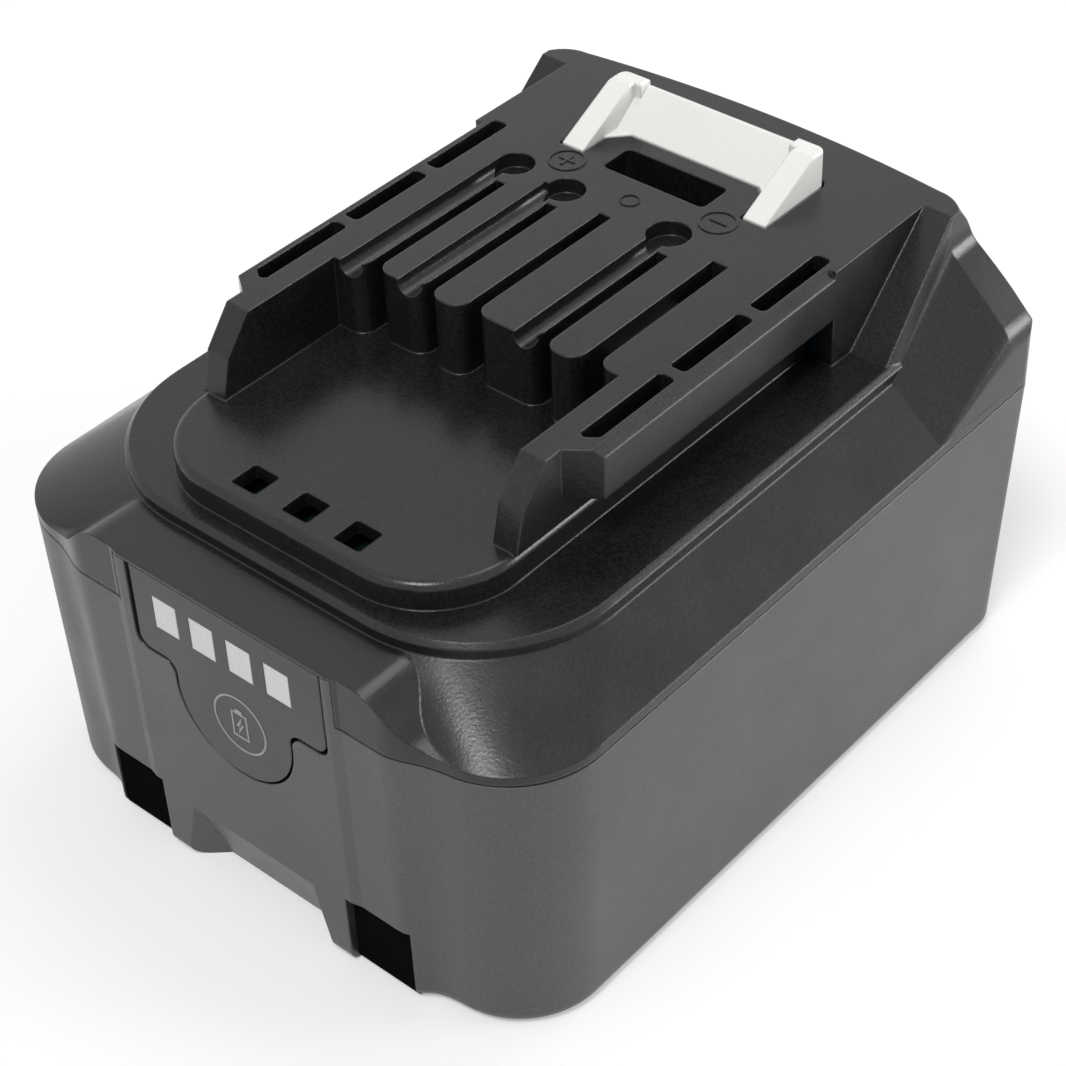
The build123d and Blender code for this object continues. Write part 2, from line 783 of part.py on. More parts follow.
    # Screw posts
    for (x, y), rise in zip(screw_pts, post_rise):
        with BuildSketch(Plane.XY.offset(post_low_z + post_gap)):
            with Locations((x, y), (-x, y)):
                Circle(post_r)
        extrude(amount=z_part + rise - post_low_z - post_gap)
        with BuildSketch(Plane.XY.offset(post_low_z + post_gap)):
            with Locations((x, y), (-x, y)):
                Circle(screw_r)
        extrude(amount=screw_len - (post_low_z - screw_head_z - screw_head_h), mode=Mode.SUBTRACT)

finish(upper_case.part, "upper_case")

def scoop_plan(out_x, in_x, in_y):
    """One level of the finger scoop: wide at the front face, narrower behind it."""
    out_y = panel_y - seam_half
    with BuildSketch() as sk:
        with BuildLine():
            Polyline((-out_x, out_y), (out_x, out_y), (in_x, in_y), (-in_x, in_y), close=True)
        make_face()
    return sk.sketch


# Finger scoop under the gauge, sloping in towards the base
with BuildPart() as scoop:
    with BuildSketch():
        add(scoop_plan(scoop_low_x, scoop_in_x, panel_y + scoop_depth))
    with BuildSketch(Plane.XY.offset(scoop_top_z)):
        add(scoop_plan(scoop_top_x, scoop_top_x - skin, panel_y))
    loft(ruled=True)

# Lower case: a tub with a tongue that frames the gauge
with BuildPart() as lower_case:
    with BuildSketch():
        add(plan_outline(*base_outline))
    with BuildSketch(Plane.XY.offset(z_part - seam_half)):
        add(plan_outline(*part_outline))
    loft(ruled=True)
    soften(lower_case.faces().sort_by(Axis.Z)[0].edges(), base_round, "base edge")
    with BuildSketch(Plane.XY.offset(z_part - seam_half)) as tongue:
        add(plan_outline(*part_outline))
        with Locations((0, panel_y + wall / 2)):
            Rectangle(2 * tongue_x, wall, mode=Mode.INTERSECT)
    extrude(amount=tongue_top_z - z_part + seam_half)
    with BuildSketch(Plane.XY.offset(floor_t)):
        add(inner_plan())
    extrude(amount=z_part - floor_t, mode=Mode.SUBTRACT)
    with BuildSketch(Plane.XY.offset(gauge_room_z)):
        box_plan(-gauge_room_x, gauge_room_x, tongue_back_y, corner_c[1])
    extrude(amount=z_foot - gauge_room_z, mode=Mode.SUBTRACT)
    with BuildSketch(Plane.XY.offset(z_part - seam_half)):
        add(inner_plan(lip_t))
        add(inner_plan(), mode=Mode.SUBTRACT)
        with Locations((0, front_y)):
            Rectangle(2 * (tongue_x + wall), 2 * over_cut, mode=Mode.SUBTRACT)
    extrude(amount=lip_top_z - z_part + seam_half)

    # Opening for the gauge insert and its pivot holes
    with BuildSketch(Plane.XZ.offset(-panel_y + over_cut)):
        add(gauge_plan(gauge_gap))
    extrude(amount=-over_cut + panel_y - tongue_back_y - skin, mode=Mode.SUBTRACT)
    with BuildSketch(Plane.YZ.offset(gauge_x[0] - gauge_left_gap - pin_reach)):
        with Locations((pin_y, pin_z)):
            Circle(pin_r + pin_fit)
    extrude(amount=gauge_x[1] - gauge_x[0] + gauge_left_gap + gauge_gap + 2 * pin_reach, mode=Mode.SUBTRACT)

    # Notches and sloping scoop along the front foot
    for side in (-1, 1):
        x0, x1 = sorted((side * notch_x[0], side * notch_x[1]))
        with BuildSketch(Plane.XY):
            box_plan(x0, x1, panel_y - over_cut, notch_back_y)
        extrude(amount=notch_top_z, mode=Mode.SUBTRACT)
    add(scoop.part, mode=Mode.SUBTRACT)

    # Screw feet with recessed heads
    for x, y in screw_pts:
        with BuildSketch(Plane.XY):
            with Locations((x, y), (-x, y)):
                Circle(post_foot_r)
        extrude(amount=post_foot_z)
        with BuildSketch(Plane.XY):
            with Locations((x, y), (-x, y)):
                Circle(post_r)
        extrude(amount=post_low_z)
        with BuildSketch(Plane.XY):
            with Locations((x, y), (-x, y)):
                Circle(screw_r + screw_gap)
        extrude(amount=post_low_z, mode=Mode.SUBTRACT)
        with BuildSketch(Plane.XY):
            with Locations((x, y), (-x, y)):
                Circle(screw_head_r + screw_gap)
        extrude(amount=screw_head_z + screw_head_h, mode=Mode.SUBTRACT)

finish(lower_case.part, "lower_case")


# Rubber pads let into the two front notches
with BuildPart() as foot_pads:
    for side in (-1, 1):
        x0, x1 = sorted((side * (notch_x[0] + pad_gap), side * (notch_x[1] - pad_gap)))
        with BuildSketch(Plane.XY.offset(skin)):
            box_plan(x0, x1, notch_back_y - pad_t, notch_back_y)
        extrude(amount=notch_top_z - pad_gap - skin)
    front_low = foot_pads.edges().filter_by(Axis.X).group_by(Axis.Z)[0].group_by(Axis.Y)[0]
    soften(front_low, pad_round, "pad edge")
finish(foot_pads.part, "foot_pads")


# Gauge insert with its four lamp windows, pivots and press rib
with BuildPart() as check_button:
    with BuildSketch(Plane.XZ.offset(-insert_y)) as face_plan:
        add(gauge_plan())
    extrude(amount=-insert_t)
    with BuildSketch(Plane.XZ.offset(-insert_y)):
        with Locations(*[(x, window_z) for x in window_xs]):
            Rectangle(window_w, window_h)
    extrude(amount=-insert_t, mode=Mode.SUBTRACT)
    with BuildSketch(Plane.YZ.offset(gauge_x[0] - gauge_left_gap - pin_reach + skin)):
        with Locations((pin_y, pin_z)):
            Circle(pin_r)
    extrude(amount=gauge_left_gap + pin_reach)
    with BuildSketch(Plane.YZ.offset(gauge_x[1] - skin)):
        with Locations((pin_y, pin_z)):
            Circle(pin_r)
    extrude(amount=gauge_gap + pin_reach)
finish(check_button.part, "check_button")

with BuildPart() as gauge_windows:
    with BuildSketch(Plane.XZ.offset(-insert_y)):
        with Locations(*[(x, window_z) for x in window_xs]):
            Rectangle(window_w, window_h)
    extrude(amount=-insert_t - window_back)
    with BuildSketch(Plane.XZ.offset(-insert_y - insert_t)):
        with Locations(*[(x, window_z) for x in window_xs]):
            Rectangle(window_w + 2 * window_rim, window_h + 2 * window_rim)
    extrude(amount=-window_back)
finish(gauge_windows.part, "gauge_windows")

with BuildPart() as switch_plunger:
    with BuildSketch(Plane.XZ.offset(-insert_y - insert_t)):
        with Locations((lobe_c[0], press_z)):
            Circle(plunger_r)
    extrude(amount=insert_y + insert_t - plunger_tip_y)
finish(switch_plunger.part, "switch_plunger")

# Gauge board with its lamps, light baffle and press switch
with BuildPart() as gauge_board:
    with BuildSketch(Plane.XZ.offset(-board_y)):
        box_plan(-board_x, board_x, gauge_room_z, board_top_z)
    extrude(amount=-board_t)
finish(gauge_board.part, "gauge_board")

with BuildPart() as gauge_leds:
    with BuildSketch(Plane.XZ.offset(-board_y)):
        with Locations(*[(x, window_z) for x in window_xs]):
            Rectangle(led_w, led_w)
    extrude(amount=led_t)
finish(gauge_leds.part, "gauge_leds")

with BuildPart() as light_baffle:
    with BuildSketch(Plane.XZ.offset(-board_y)):
        with Locations((sum(window_xs) / window_count, window_z)):
            Rectangle(baffle_w, baffle_h)
        with Locations(*[(x, window_z) for x in window_xs]):
            Rectangle(window_w, window_h, mode=Mode.SUBTRACT)
    extrude(amount=led_t)
finish(light_baffle.part, "light_baffle")

with BuildPart() as tact_switch:
    with BuildSketch(Plane.XZ.offset(-board_y)):
        with Locations((lobe_c[0], press_z)):
            RectangleRounded(switch_side, switch_side, radius=slot_round)
            Circle(plunger_r + plunger_room, mode=Mode.SUBTRACT)
    extrude(amount=board_y - switch_front_y)
finish(tact_switch.part, "tact_switch")

# Latch: prongs with a ramp, the wall between them and the plate under the deck
above_z = z_latch + over_cut
with BuildPart() as latch:
    with BuildSketch(Plane.XY.offset(latch_low_z)):
        add(latch_plan())
    extrude(amount=z_latch - latch_low_z)
    with BuildSketch(Plane.YZ.offset(-prong_x[1] - over_cut)):
        with BuildLine():
            ramp = Polyline((prong_tip_y, z_deck), (ramp_top_y, z_latch), (ramp_top_y, above_z))
            Polyline(ramp @ 1, (prong_tip_y - over_cut, above_z), (prong_tip_y - over_cut, z_deck), ramp @ 0)
        make_face()
    extrude(amount=2 * (prong_x[1] + over_cut), mode=Mode.SUBTRACT)
    behind_y = prong_back_y + over_cut
    before_y = cross_y - over_cut
    with BuildSketch(Plane.YZ.offset(-prong_x[0])):
        with BuildLine():
            face = Polyline((cross_y, z_deck), (cross_top_y, cross_top_z), (behind_y, cross_top_z))
            Polyline(face @ 1, (behind_y, above_z), (before_y, above_z), (before_y, z_deck), face @ 0)
        make_face()
    extrude(amount=2 * prong_x[0], mode=Mode.SUBTRACT)
    for side in (-1, 1):
        x0, x1 = sorted((side * prong_turn_x, side * prong_x[0]))
        with BuildSketch(Plane.XY.offset(z_deck)):
            box_plan(x0, x1, prong_back_y - prong_turn_len, prong_back_y)
        extrude(amount=prong_h)
    tops = ShapeList([e for e in latch.edges() if e.bounding_box().min.Z > z_latch - skin])
    soften(tops, prong_edge_r, "prong tops")
    with BuildSketch(Plane.XY.offset(latch_low_z)):
        box_plan(-latch_plate_x, latch_plate_x, *latch_plate_y)
    extrude(amount=latch_plate_t)
    with BuildSketch(Plane.XZ.offset(-latch_plate_y[1])):
        peg_z = latch_low_z + latch_plate_t / 2
        with Locations((-button_peg_x, peg_z), (button_peg_x, peg_z)):
            Circle(button_peg_r)
    extrude(amount=button_peg_len, mode=Mode.SUBTRACT)
finish(latch.part, "latch")

with BuildPart() as release_button:
    with BuildSketch(Plane.XZ.offset(-latch_plate_y[1])):
        box_plan(-button_flange_x, button_flange_x, *button_flange_z)
    extrude(amount=-button_flange_t)
    with BuildSketch(Plane.XZ.offset(-latch_plate_y[1] - button_flange_t)):
        with Locations((0, sum(button_z) / 2)):
            RectangleRounded(2 * button_x, button_z[1] - button_z[0], radius=button_round)
    extrude(amount=latch_plate_y[1] + button_flange_t - button_front_y)
    with BuildSketch(Plane.XZ.offset(-latch_plate_y[1])):
        with Locations((-button_peg_x, peg_z), (button_peg_x, peg_z)):
            Circle(button_peg_r)
    extrude(amount=button_peg_len)
    with BuildSketch(Plane.XZ.offset(-button_front_y)):
        with Locations((0, sum(button_z) / 2)):
            with GridLocations(button_rib_pitch, button_rib_pitch, 1, 4):
                Rectangle(2 * button_x - 2 * over_cut, button_rib_t)
    extrude(amount=button_rib_t / 2, mode=Mode.SUBTRACT)
finish(release_button.part, "release_button")

with BuildPart() as latch_springs:
    with BuildSketch(Plane.XY.offset(shelf_z)):
        with Locations((-spring_x, spring_y), (spring_x, spring_y)):
            Circle(spring_r)
            Circle(spring_r - spring_wire, mode=Mode.SUBTRACT)
    extrude(amount=latch_low_z - shelf_z)
finish(latch_springs.part, "latch_springs")

# Six cells, each a rolled can with a bead and a raised positive end
columns = (-1, 0, 1)
number = 0
for layer in (0, 1):
    for column in columns:
        number += 1
        plus_back = column != 0
        turn = 1 if plus_back else -1
        start = cell_front_y if plus_back else cell_back_y
        with BuildPart() as cell:
            with BuildSketch(Plane.XZ.offset(-start)):
                with Locations((column * cell_pitch_x, cell_low_z + layer * cell_pitch_z)):
                    Circle(cell_r)
            extrude(amount=-turn * (cell_len - cell_nub_h))
            chamfer(edges(), length=cell_rim)
            bead_y = start + turn * (cell_len - cell_bead_y)
            with BuildSketch(Plane.XZ.offset(-bead_y)):
                with Locations((column * cell_pitch_x, cell_low_z + layer * cell_pitch_z)):
                    Circle(cell_r + cell_bead_d)
                    Circle(cell_r - cell_bead_d, mode=Mode.SUBTRACT)
            extrude(amount=turn * cell_bead_w, mode=Mode.SUBTRACT)
            with BuildSketch(Plane.XZ.offset(-start - turn * (cell_len - cell_nub_h))):
                with Locations((column * cell_pitch_x, cell_low_z + layer * cell_pitch_z)):
                    Circle(cell_nub_r)
            extrude(amount=-turn * cell_nub_h)
        finish(cell.part, "cell_" + str(number))


def frame_plan_outer():
    """Outer cross-section of a cell frame."""
    top_x, top_z = frame_top
    left = [(-top_x, top_z), (-frame_x, frame_side_z), (-frame_x, frame_low_z)]
    with BuildSketch() as sk:
        with BuildLine():
            Polyline(*left, *[(-x, z) for x, z in reversed(left)], close=True)
        make_face()
    return sk.sketch


def frame_plan():
    """Cross-section of a cell frame with its six bores."""
    with BuildSketch() as sk:
        add(frame_plan_outer())
        for layer in (0, 1):
            for column in columns:
                with Locations((column * cell_pitch_x, cell_low_z + layer * cell_pitch_z)):
                    Circle(cell_r + frame_fit, mode=Mode.SUBTRACT)
    return sk.sketch


def link_plan(first, last):
    """Nickel link over one column of cells, or over two and the gap between them."""
    with BuildSketch() as sk:
        for column in range(first, last + 1):
            x = column * cell_pitch_x
            box_plan(x - link_w / 2, x + link_w / 2, *link_z)
        box_plan(first * cell_pitch_x, last * cell_pitch_x + skin, *link_arm_z)
    return sk.sketch


links = [
    ("strip_negative", -1, -1, True),
    ("strip_front_link", 0, 1, True),
    ("strip_rear_link", -1, 0, False),
    ("strip_positive", 1, 1, False),
]
for label, first, last, front in links:
    plane_y = cell_front_y if front else cell_back_y
    with BuildPart() as strip:
        with BuildSketch(Plane.XZ.offset(-plane_y)):
            add(link_plan(first, last))
        extrude(amount=link_t if front else -link_t)
    finish(strip.part, label)


def frame_plate(half_x, plans):
    """End plate of a frame, open over each cell end and each link."""
    with BuildSketch() as sk:
        add(frame_plan_outer())
        with Locations((0, frame_side_z / 2)):
            Rectangle(2 * half_x, 2 * frame_side_z, mode=Mode.INTERSECT)
        for layer in (0, 1):
            for column in columns:
                with Locations((column * cell_pitch_x, cell_low_z + layer * cell_pitch_z)):
                    Circle(frame_window_r, mode=Mode.SUBTRACT)
        for plan in plans:
            room = offset(plan, amount=lip_gap, kind=Kind.INTERSECTION, mode=Mode.PRIVATE)
            add(room, mode=Mode.SUBTRACT)
    return sk.sketch


with BuildPart() as cell_frame_front:
    with BuildSketch(Plane.XZ.offset(-cell_front_y)):
        add(frame_plan())
    extrude(amount=-frame_t)
    with BuildSketch(Plane.XZ.offset(-cell_front_y)):
        add(frame_plate(frame_x - frame_plate_in[0], [link_plan(-1, -1), link_plan(0, 1)]))
    extrude(amount=frame_plate_t)
finish(cell_frame_front.part, "cell_frame_front")

with BuildPart() as cell_frame_rear:
    with BuildSketch(Plane.XZ.offset(-cell_back_y)):
        add(frame_plan())
    extrude(amount=frame_t)
    with BuildSketch(Plane.XZ.offset(-cell_back_y)):
        add(frame_plate(frame_x - frame_plate_in[1], [link_plan(-1, 0), link_plan(1, 1)]))
    extrude(amount=-frame_plate_t)
    with BuildSketch(Plane.XY.offset(shelf_z)):
        box_plan(-shelf_x, shelf_x, cell_back_y + skin, shelf_y)
    extrude(amount=-shelf_t)
    with BuildSketch(Plane.XY.offset(shelf_z)):
        with Locations((-spring_x, spring_y), (spring_x, spring_y)):
            Circle(peg_r)
    extrude(amount=peg_h)
finish(cell_frame_rear.part, "cell_frame_rear")

# Circuit board under the platform, on an insulating sheet over the cells
with BuildPart() as circuit_board:
    with BuildSketch(Plane.XY.offset(main_board_z)):
        box_plan(-main_board_x, main_board_x, *main_board_y)
    extrude(amount=main_board_t)
    soften(circuit_board.edges().filter_by(Axis.Z).group_by(Axis.Y)[0], main_board_r, "board corner")
finish(circuit_board.part, "circuit_board")

with BuildPart() as insulator:
    with BuildSketch(Plane.XY.offset(main_board_z - sheet_t - sheet_gap)):
        box_plan(-main_board_x, main_board_x, main_board_y[0] + chamber_r, main_board_y[1])
        with Locations((-lead_x, thermistor_y)):
            Rectangle(thermistor_len, thermistor_len, mode=Mode.SUBTRACT)
        for side in (-1, 1):
            with Locations((side * lead_x, lead_rise_y[1])):
                Rectangle(thermistor_len, thermistor_len, mode=Mode.SUBTRACT)
    extrude(amount=sheet_t)
finish(insulator.part, "insulator")

# Forked contacts in the slits
roles = ["contact_positive", "signal", "signal", "contact_negative", "signal"]


def contact_form(mid):
    """One fork: a foot on the board and two leaves beside the slit's middle."""
    with BuildPart() as fork:
        with BuildSketch(Plane.XY.offset(main_board_z + main_board_t)):
            box_plan(mid - contact_half, mid + contact_half, *contact_base_y)
        extrude(amount=contact_base_top_z - main_board_z - main_board_t)
        with BuildSketch(Plane.XY.offset(z_platform)):
            for side in (-1, 1):
                edge = mid + side * contact_half
                x0, x1 = sorted((edge, edge - side * contact_leaf))
                box_plan(x0, x1, *contact_y)
        extrude(amount=contact_top_z - z_platform)
    return fork.part


for wanted in ("contact_positive", "contact_negative", "signal"):
    with BuildPart() as contacts:
        for (x0, x1, y1), role in zip(slit_spans, roles):
            if role == wanted:
                add(contact_form((x0 + x1) / 2))
    finish(contacts.part, "signal_contacts" if wanted == "signal" else wanted)

with BuildPart() as controller_chip:
    with BuildSketch(Plane.XY.offset(main_board_z + main_board_t)):
        with Locations((0, chip_y)):
            with GridLocations(*chip_pitch, 2, 2):
                Rectangle(chip_side, chip_side)
    extrude(amount=chip_t)
finish(controller_chip.part, "controller_chip")

# Sense leads from the front links up to the board, and the thermistor between two cells
for side, label in ((-1, "lead_negative"), (1, "lead_middle")):
    with BuildPart() as lead:
        with BuildLine() as route:
            start = (side * lead_x, cell_front_y - link_t, lead_z)
            knee = (side * lead_x, lead_rise_y[0], lead_z)
            end = (side * lead_x, lead_rise_y[1], main_board_z - lead_r)
            FilletPolyline(start, knee, end, radius=lead_bend)
        with BuildSketch(Plane(origin=start, z_dir=(0, 1, 0))):
            Circle(lead_r)
        sweep()
    finish(lead.part, label)

with BuildPart() as thermistor:
    with BuildSketch(Plane.XZ.offset(-thermistor_y + thermistor_len / 2)):
        with Locations((-lead_x, thermistor_z)):
            Circle(thermistor_r)
    extrude(amount=-thermistor_len)
    chamfer(thermistor.edges(), length=thermistor_r / 2)
    with BuildSketch(Plane.XY.offset(thermistor_z)):
        leg_ys = (thermistor_y - thermistor_leg_gap, thermistor_y + thermistor_leg_gap)
        with Locations(*[(-lead_x, y) for y in leg_ys]):
            Circle(thermistor_leg_r)
    extrude(amount=main_board_z - thermistor_z)
finish(thermistor.part, "thermistor")

with BuildPart() as case_screws:
    for x, y in screw_pts:
        for side in (-1, 1):
            with BuildSketch(Plane.XY.offset(screw_head_z)):
                with Locations((side * x, y)):
                    Circle(screw_head_r)
            extrude(amount=screw_head_h)
            with BuildSketch(Plane.XY.offset(screw_head_z)):
                with Locations((side * x, y)):
                    Circle(screw_r)
            extrude(amount=screw_len)
            with BuildSketch(Plane.XY.offset(screw_head_z)):
                with Locations((side * x, y)):
                    RegularPolygon(screw_drive_r, 6)
            extrude(amount=screw_drive_d, mode=Mode.SUBTRACT)
finish(case_screws.part, "case_screws")
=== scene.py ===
import math

import bmesh
import bpy
from bpy.props import FloatProperty, FloatVectorProperty, IntProperty, PointerProperty
from bpy.types import NodeSocket, Operator, Panel, PropertyGroup
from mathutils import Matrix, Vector


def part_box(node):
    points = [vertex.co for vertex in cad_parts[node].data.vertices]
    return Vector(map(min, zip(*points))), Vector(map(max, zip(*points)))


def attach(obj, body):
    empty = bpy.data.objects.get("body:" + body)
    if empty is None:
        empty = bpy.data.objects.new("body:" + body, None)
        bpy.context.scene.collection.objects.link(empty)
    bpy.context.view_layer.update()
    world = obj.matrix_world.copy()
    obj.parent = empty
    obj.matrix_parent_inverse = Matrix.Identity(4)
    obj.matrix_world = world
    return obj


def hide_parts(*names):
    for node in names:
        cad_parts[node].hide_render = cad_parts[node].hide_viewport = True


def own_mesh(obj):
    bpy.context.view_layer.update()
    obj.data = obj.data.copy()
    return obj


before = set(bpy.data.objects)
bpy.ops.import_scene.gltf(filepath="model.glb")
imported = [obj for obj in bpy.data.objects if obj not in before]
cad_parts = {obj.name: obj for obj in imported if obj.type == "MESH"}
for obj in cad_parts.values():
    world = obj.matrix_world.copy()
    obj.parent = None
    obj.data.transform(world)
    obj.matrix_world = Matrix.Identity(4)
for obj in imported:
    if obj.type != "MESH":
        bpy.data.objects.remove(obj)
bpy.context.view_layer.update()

bl_info = {
    "name": "Slide-on battery pack",
    "version": (1, 0, 0),
    "blender": (4, 5, 0),
    "location": "3D View > Sidebar > Battery pack",
    "description": "Finishes, printed marks, studio and camera for a two-row slide-on battery pack",
    "category": "Object",
}

mm = 0.001


# Sizes and colours that a user would change


class PackFinish(PropertyGroup):
    case_colour: FloatVectorProperty(
        name="Upper case", description="Near-black plastic of the upper case",
        subtype="COLOR", size=3, min=0, max=1, default=(0.0045, 0.0045, 0.0047))
    tub_colour: FloatVectorProperty(
        name="Lower case", description="Slightly paler, matter plastic of the lower case",
        subtype="COLOR", size=3, min=0, max=1, default=(0.0090, 0.0090, 0.0092))
    case_shine: FloatProperty(
        name="Upper shine", description="How strongly the upper case reflects the room, 0.5 is plain plastic",
        default=0.42, min=0, max=1)
    tub_shine: FloatProperty(
        name="Lower shine", description="How strongly the lower case reflects the room, 0.5 is plain plastic",
        default=0.90, min=0, max=1)
    insert_colour: FloatVectorProperty(
        name="Gauge insert", description="Darker plastic round the lamp windows",
        subtype="COLOR", size=3, min=0, max=1, default=(0.0040, 0.0040, 0.0042))
    latch_colour: FloatVectorProperty(
        name="Latch", description="White of the latch hook",
        subtype="COLOR", size=3, min=0, max=1, default=(0.71, 0.71, 0.69))
    # Colour of the foot pads: black rubber that also paints the shade inside the two notches at the foot
    notch_shade_colour: FloatVectorProperty(
        name="Foot pads", description="Black rubber of the two pads at the foot",
        subtype="COLOR", size=3, min=0, max=1, default=(0.004, 0.004, 0.004))
    window_colour: FloatVectorProperty(
        name="Lamp windows", description="Milky light pipes of the charge gauge",
        subtype="COLOR", size=3, min=0, max=1, default=(0.52, 0.52, 0.51))
    ink_colour: FloatVectorProperty(
        name="Ink", description="Grey pad print on the check button",
        subtype="COLOR", size=3, min=0, max=1, default=(0.30, 0.30, 0.30))
    grain_size: FloatProperty(
        name="Grain size", description="Width of one grain of the spark-eroded texture",
        subtype="DISTANCE", unit="LENGTH", default=0.30 * mm, min=0.05 * mm)
    grain_depth: FloatProperty(
        name="Grain depth", description="Depth of the spark-eroded texture",
        subtype="DISTANCE", unit="LENGTH", default=0.024 * mm, min=0)
    edge_round: FloatProperty(
        name="Edge round", description="Radius that moulding leaves on every sharp edge",
        subtype="DISTANCE", unit="LENGTH", default=0.30 * mm, min=0)


class PackMarks(PropertyGroup):
    button_centre: FloatVectorProperty(
        name="Button print", description="Middle of the printed ring on the check button",
        subtype="TRANSLATION", unit="LENGTH", size=3, default=(1.0 * mm, -40.6 * mm, 25.2 * mm))
    ring_radius: FloatProperty(
        name="Ring radius", description="Radius of the printed ring",
        subtype="DISTANCE", unit="LENGTH", default=3.2 * mm)
    ring_line: FloatProperty(
        name="Ring line", description="Width of the printed lines",
        subtype="DISTANCE", unit="LENGTH", default=0.22 * mm)
    plus_centre: FloatVectorProperty(
        name="Plus mark", description="Middle of the moulded plus sign",
        subtype="TRANSLATION", unit="LENGTH", size=3, default=(-10.3 * mm, 20.9 * mm, 51.4 * mm))
    minus_centre: FloatVectorProperty(
        name="Minus mark", description="Middle of the moulded minus sign",
        subtype="TRANSLATION", unit="LENGTH", size=3, default=(8.8 * mm, 21.1 * mm, 51.4 * mm))
    sign_radius: FloatProperty(
        name="Sign radius", description="Radius of the rings round the two signs",
        subtype="DISTANCE", unit="LENGTH", default=1.75 * mm)
    pin_mark: FloatVectorProperty(
        name="Pin mark", description="Middle of the ejector pin's mark on the deck",
        subtype="TRANSLATION", unit="LENGTH", size=3, default=(-0.5 * mm, 18.9 * mm, 51.4 * mm))
    pin_radius: FloatProperty(
        name="Pin radius", description="Radius of the ejector pin's mark",
        subtype="DISTANCE", unit="LENGTH", default=0.9 * mm)


class PackCoils(PropertyGroup):
    wire: FloatProperty(
        name="Wire", description="Thickness of the springs' wire",
        subtype="DISTANCE", unit="LENGTH", default=0.45 * mm)
    turns: IntProperty(
        name="Turns", description="Turns of each spring, with the two closed ends", default=9, min=4)
    travel: FloatProperty(
        name="Travel", description="How far the latch presses the springs together",
        subtype="DISTANCE", unit="LENGTH", default=4.2 * mm)


class PackStudio(PropertyGroup):
    camera_place: FloatVectorProperty(
        name="Camera", description="Where the camera stands",
        subtype="TRANSLATION", unit="LENGTH", size=3, default=(134.403 * mm, -147.259 * mm, 188.327 * mm))
    camera_turn: FloatVectorProperty(
        name="Camera turn", description="Euler angles of the camera",
        subtype="EULER", unit="ROTATION", size=3,
        default=(math.radians(49.9584), math.radians(1.8226), math.radians(40.4828)))
    camera_lens: FloatProperty(
        name="Lens", description="Focal length on a 36 mm sensor", default=85.615)
    floor_colour: FloatVectorProperty(
        name="Floor", description="Pale studio floor",
        subtype="COLOR", size=3, min=0, max=1, default=(0.90, 0.90, 0.90))
    world_light: FloatProperty(
        name="Room light", description="Strength of the room's light from straight above",
        default=0.62, min=0)
    wall_light: FloatProperty(
        name="Wall light", description="Strength of the room's light at the height of the horizon",
        default=0.42, min=0)
    front_lamp: FloatProperty(
        name="Front lamp", description="Power of the soft box high in front",
        subtype="POWER", unit="POWER", default=5.0)
    side_lamp: FloatProperty(
        name="Side lamp", description="Power of the soft box low on the right, behind the pack",
        subtype="POWER", unit="POWER", default=4.2)
    top_lamp: FloatProperty(
        name="Top lamp", description="Power of the soft box overhead, behind the pack",
        subtype="POWER", unit="POWER", default=1.6)
    floor_white: FloatProperty(
        name="Floor white", description="How far the floor is lifted to plain white round the pack",
        default=0.3, min=0, max=1)


# Nodes that the finishes and the stage are made of


def feed(tree, socket, take):
    """Sets a socket to a number or colour, or links another node's socket to it."""
    if isinstance(take, NodeSocket):
        tree.links.new(take, socket)
    else:
        socket.default_value = take


def calculate(tree, operation, *takes, clamp=False):
    """Result of a Math node, from numbers or other nodes' sockets."""
    node = tree.nodes.new("ShaderNodeMath")
    node.operation = operation
    node.use_clamp = clamp
    for socket, take in zip(node.inputs, takes):
        feed(tree, socket, take)
    return node.outputs[0]


def vector_node(tree, operation, *takes):
    """A Vector Math node on vectors or other nodes' sockets."""
    node = tree.nodes.new("ShaderNodeVectorMath")
    node.operation = operation
    for socket, take in zip(node.inputs, takes):
        feed(tree, socket, take)
    return node


def spread(tree, value, low, high, to_low=0.0, to_high=1.0):
    """Carries a value from one range over to another, and holds it inside."""
    node = tree.nodes.new("ShaderNodeMapRange")
    feed(tree, node.inputs["Value"], value)
    feed(tree, node.inputs["From Min"], low)
    feed(tree, node.inputs["From Max"], high)
    feed(tree, node.inputs["To Min"], to_low)
    feed(tree, node.inputs["To Max"], to_high)
    return node.outputs[0]


def mix_colours(tree, share, plain, other):
    """Plain colour where the share is 0, and the other one where it is 1."""
    node = tree.nodes.new("ShaderNodeMix")
    node.data_type = "RGBA"
    feed(tree, node.inputs["Factor"], share)
    feed(tree, node.inputs["A"], plain)
    feed(tree, node.inputs["B"], other)
    return node.outputs["Result"]


def mix_shaders(tree, share, plain, other):
    """Plain shader where the share is 0, and the other one where it is 1."""
    node = tree.nodes.new("ShaderNodeMixShader")
    for socket, take in zip(node.inputs, (share, plain, other)):
        feed(tree, socket, take)
    return node.outputs[0]


def noise(tree, place, scale, detail, roughness=0.5):
    """Cloudy pattern between 0 and 1."""
    node = tree.nodes.new("ShaderNodeTexNoise")
    feed(tree, node.inputs["Vector"], place)
    feed(tree, node.inputs["Scale"], scale)
    feed(tree, node.inputs["Detail"], detail)
    feed(tree, node.inputs["Roughness"], roughness)
    return node.outputs["Fac"]


def object_place(tree):
    """Place on the object, in metres."""
    return tree.nodes.new("ShaderNodeTexCoord").outputs["Object"]


def bumped(tree, height, strength, depth):
    """A Bump node over hollows of the given depth."""
    node = tree.nodes.new("ShaderNodeBump")
    feed(tree, node.inputs["Strength"], strength)
    feed(tree, node.inputs["Distance"], depth)
    feed(tree, node.inputs["Height"], height)
    return node


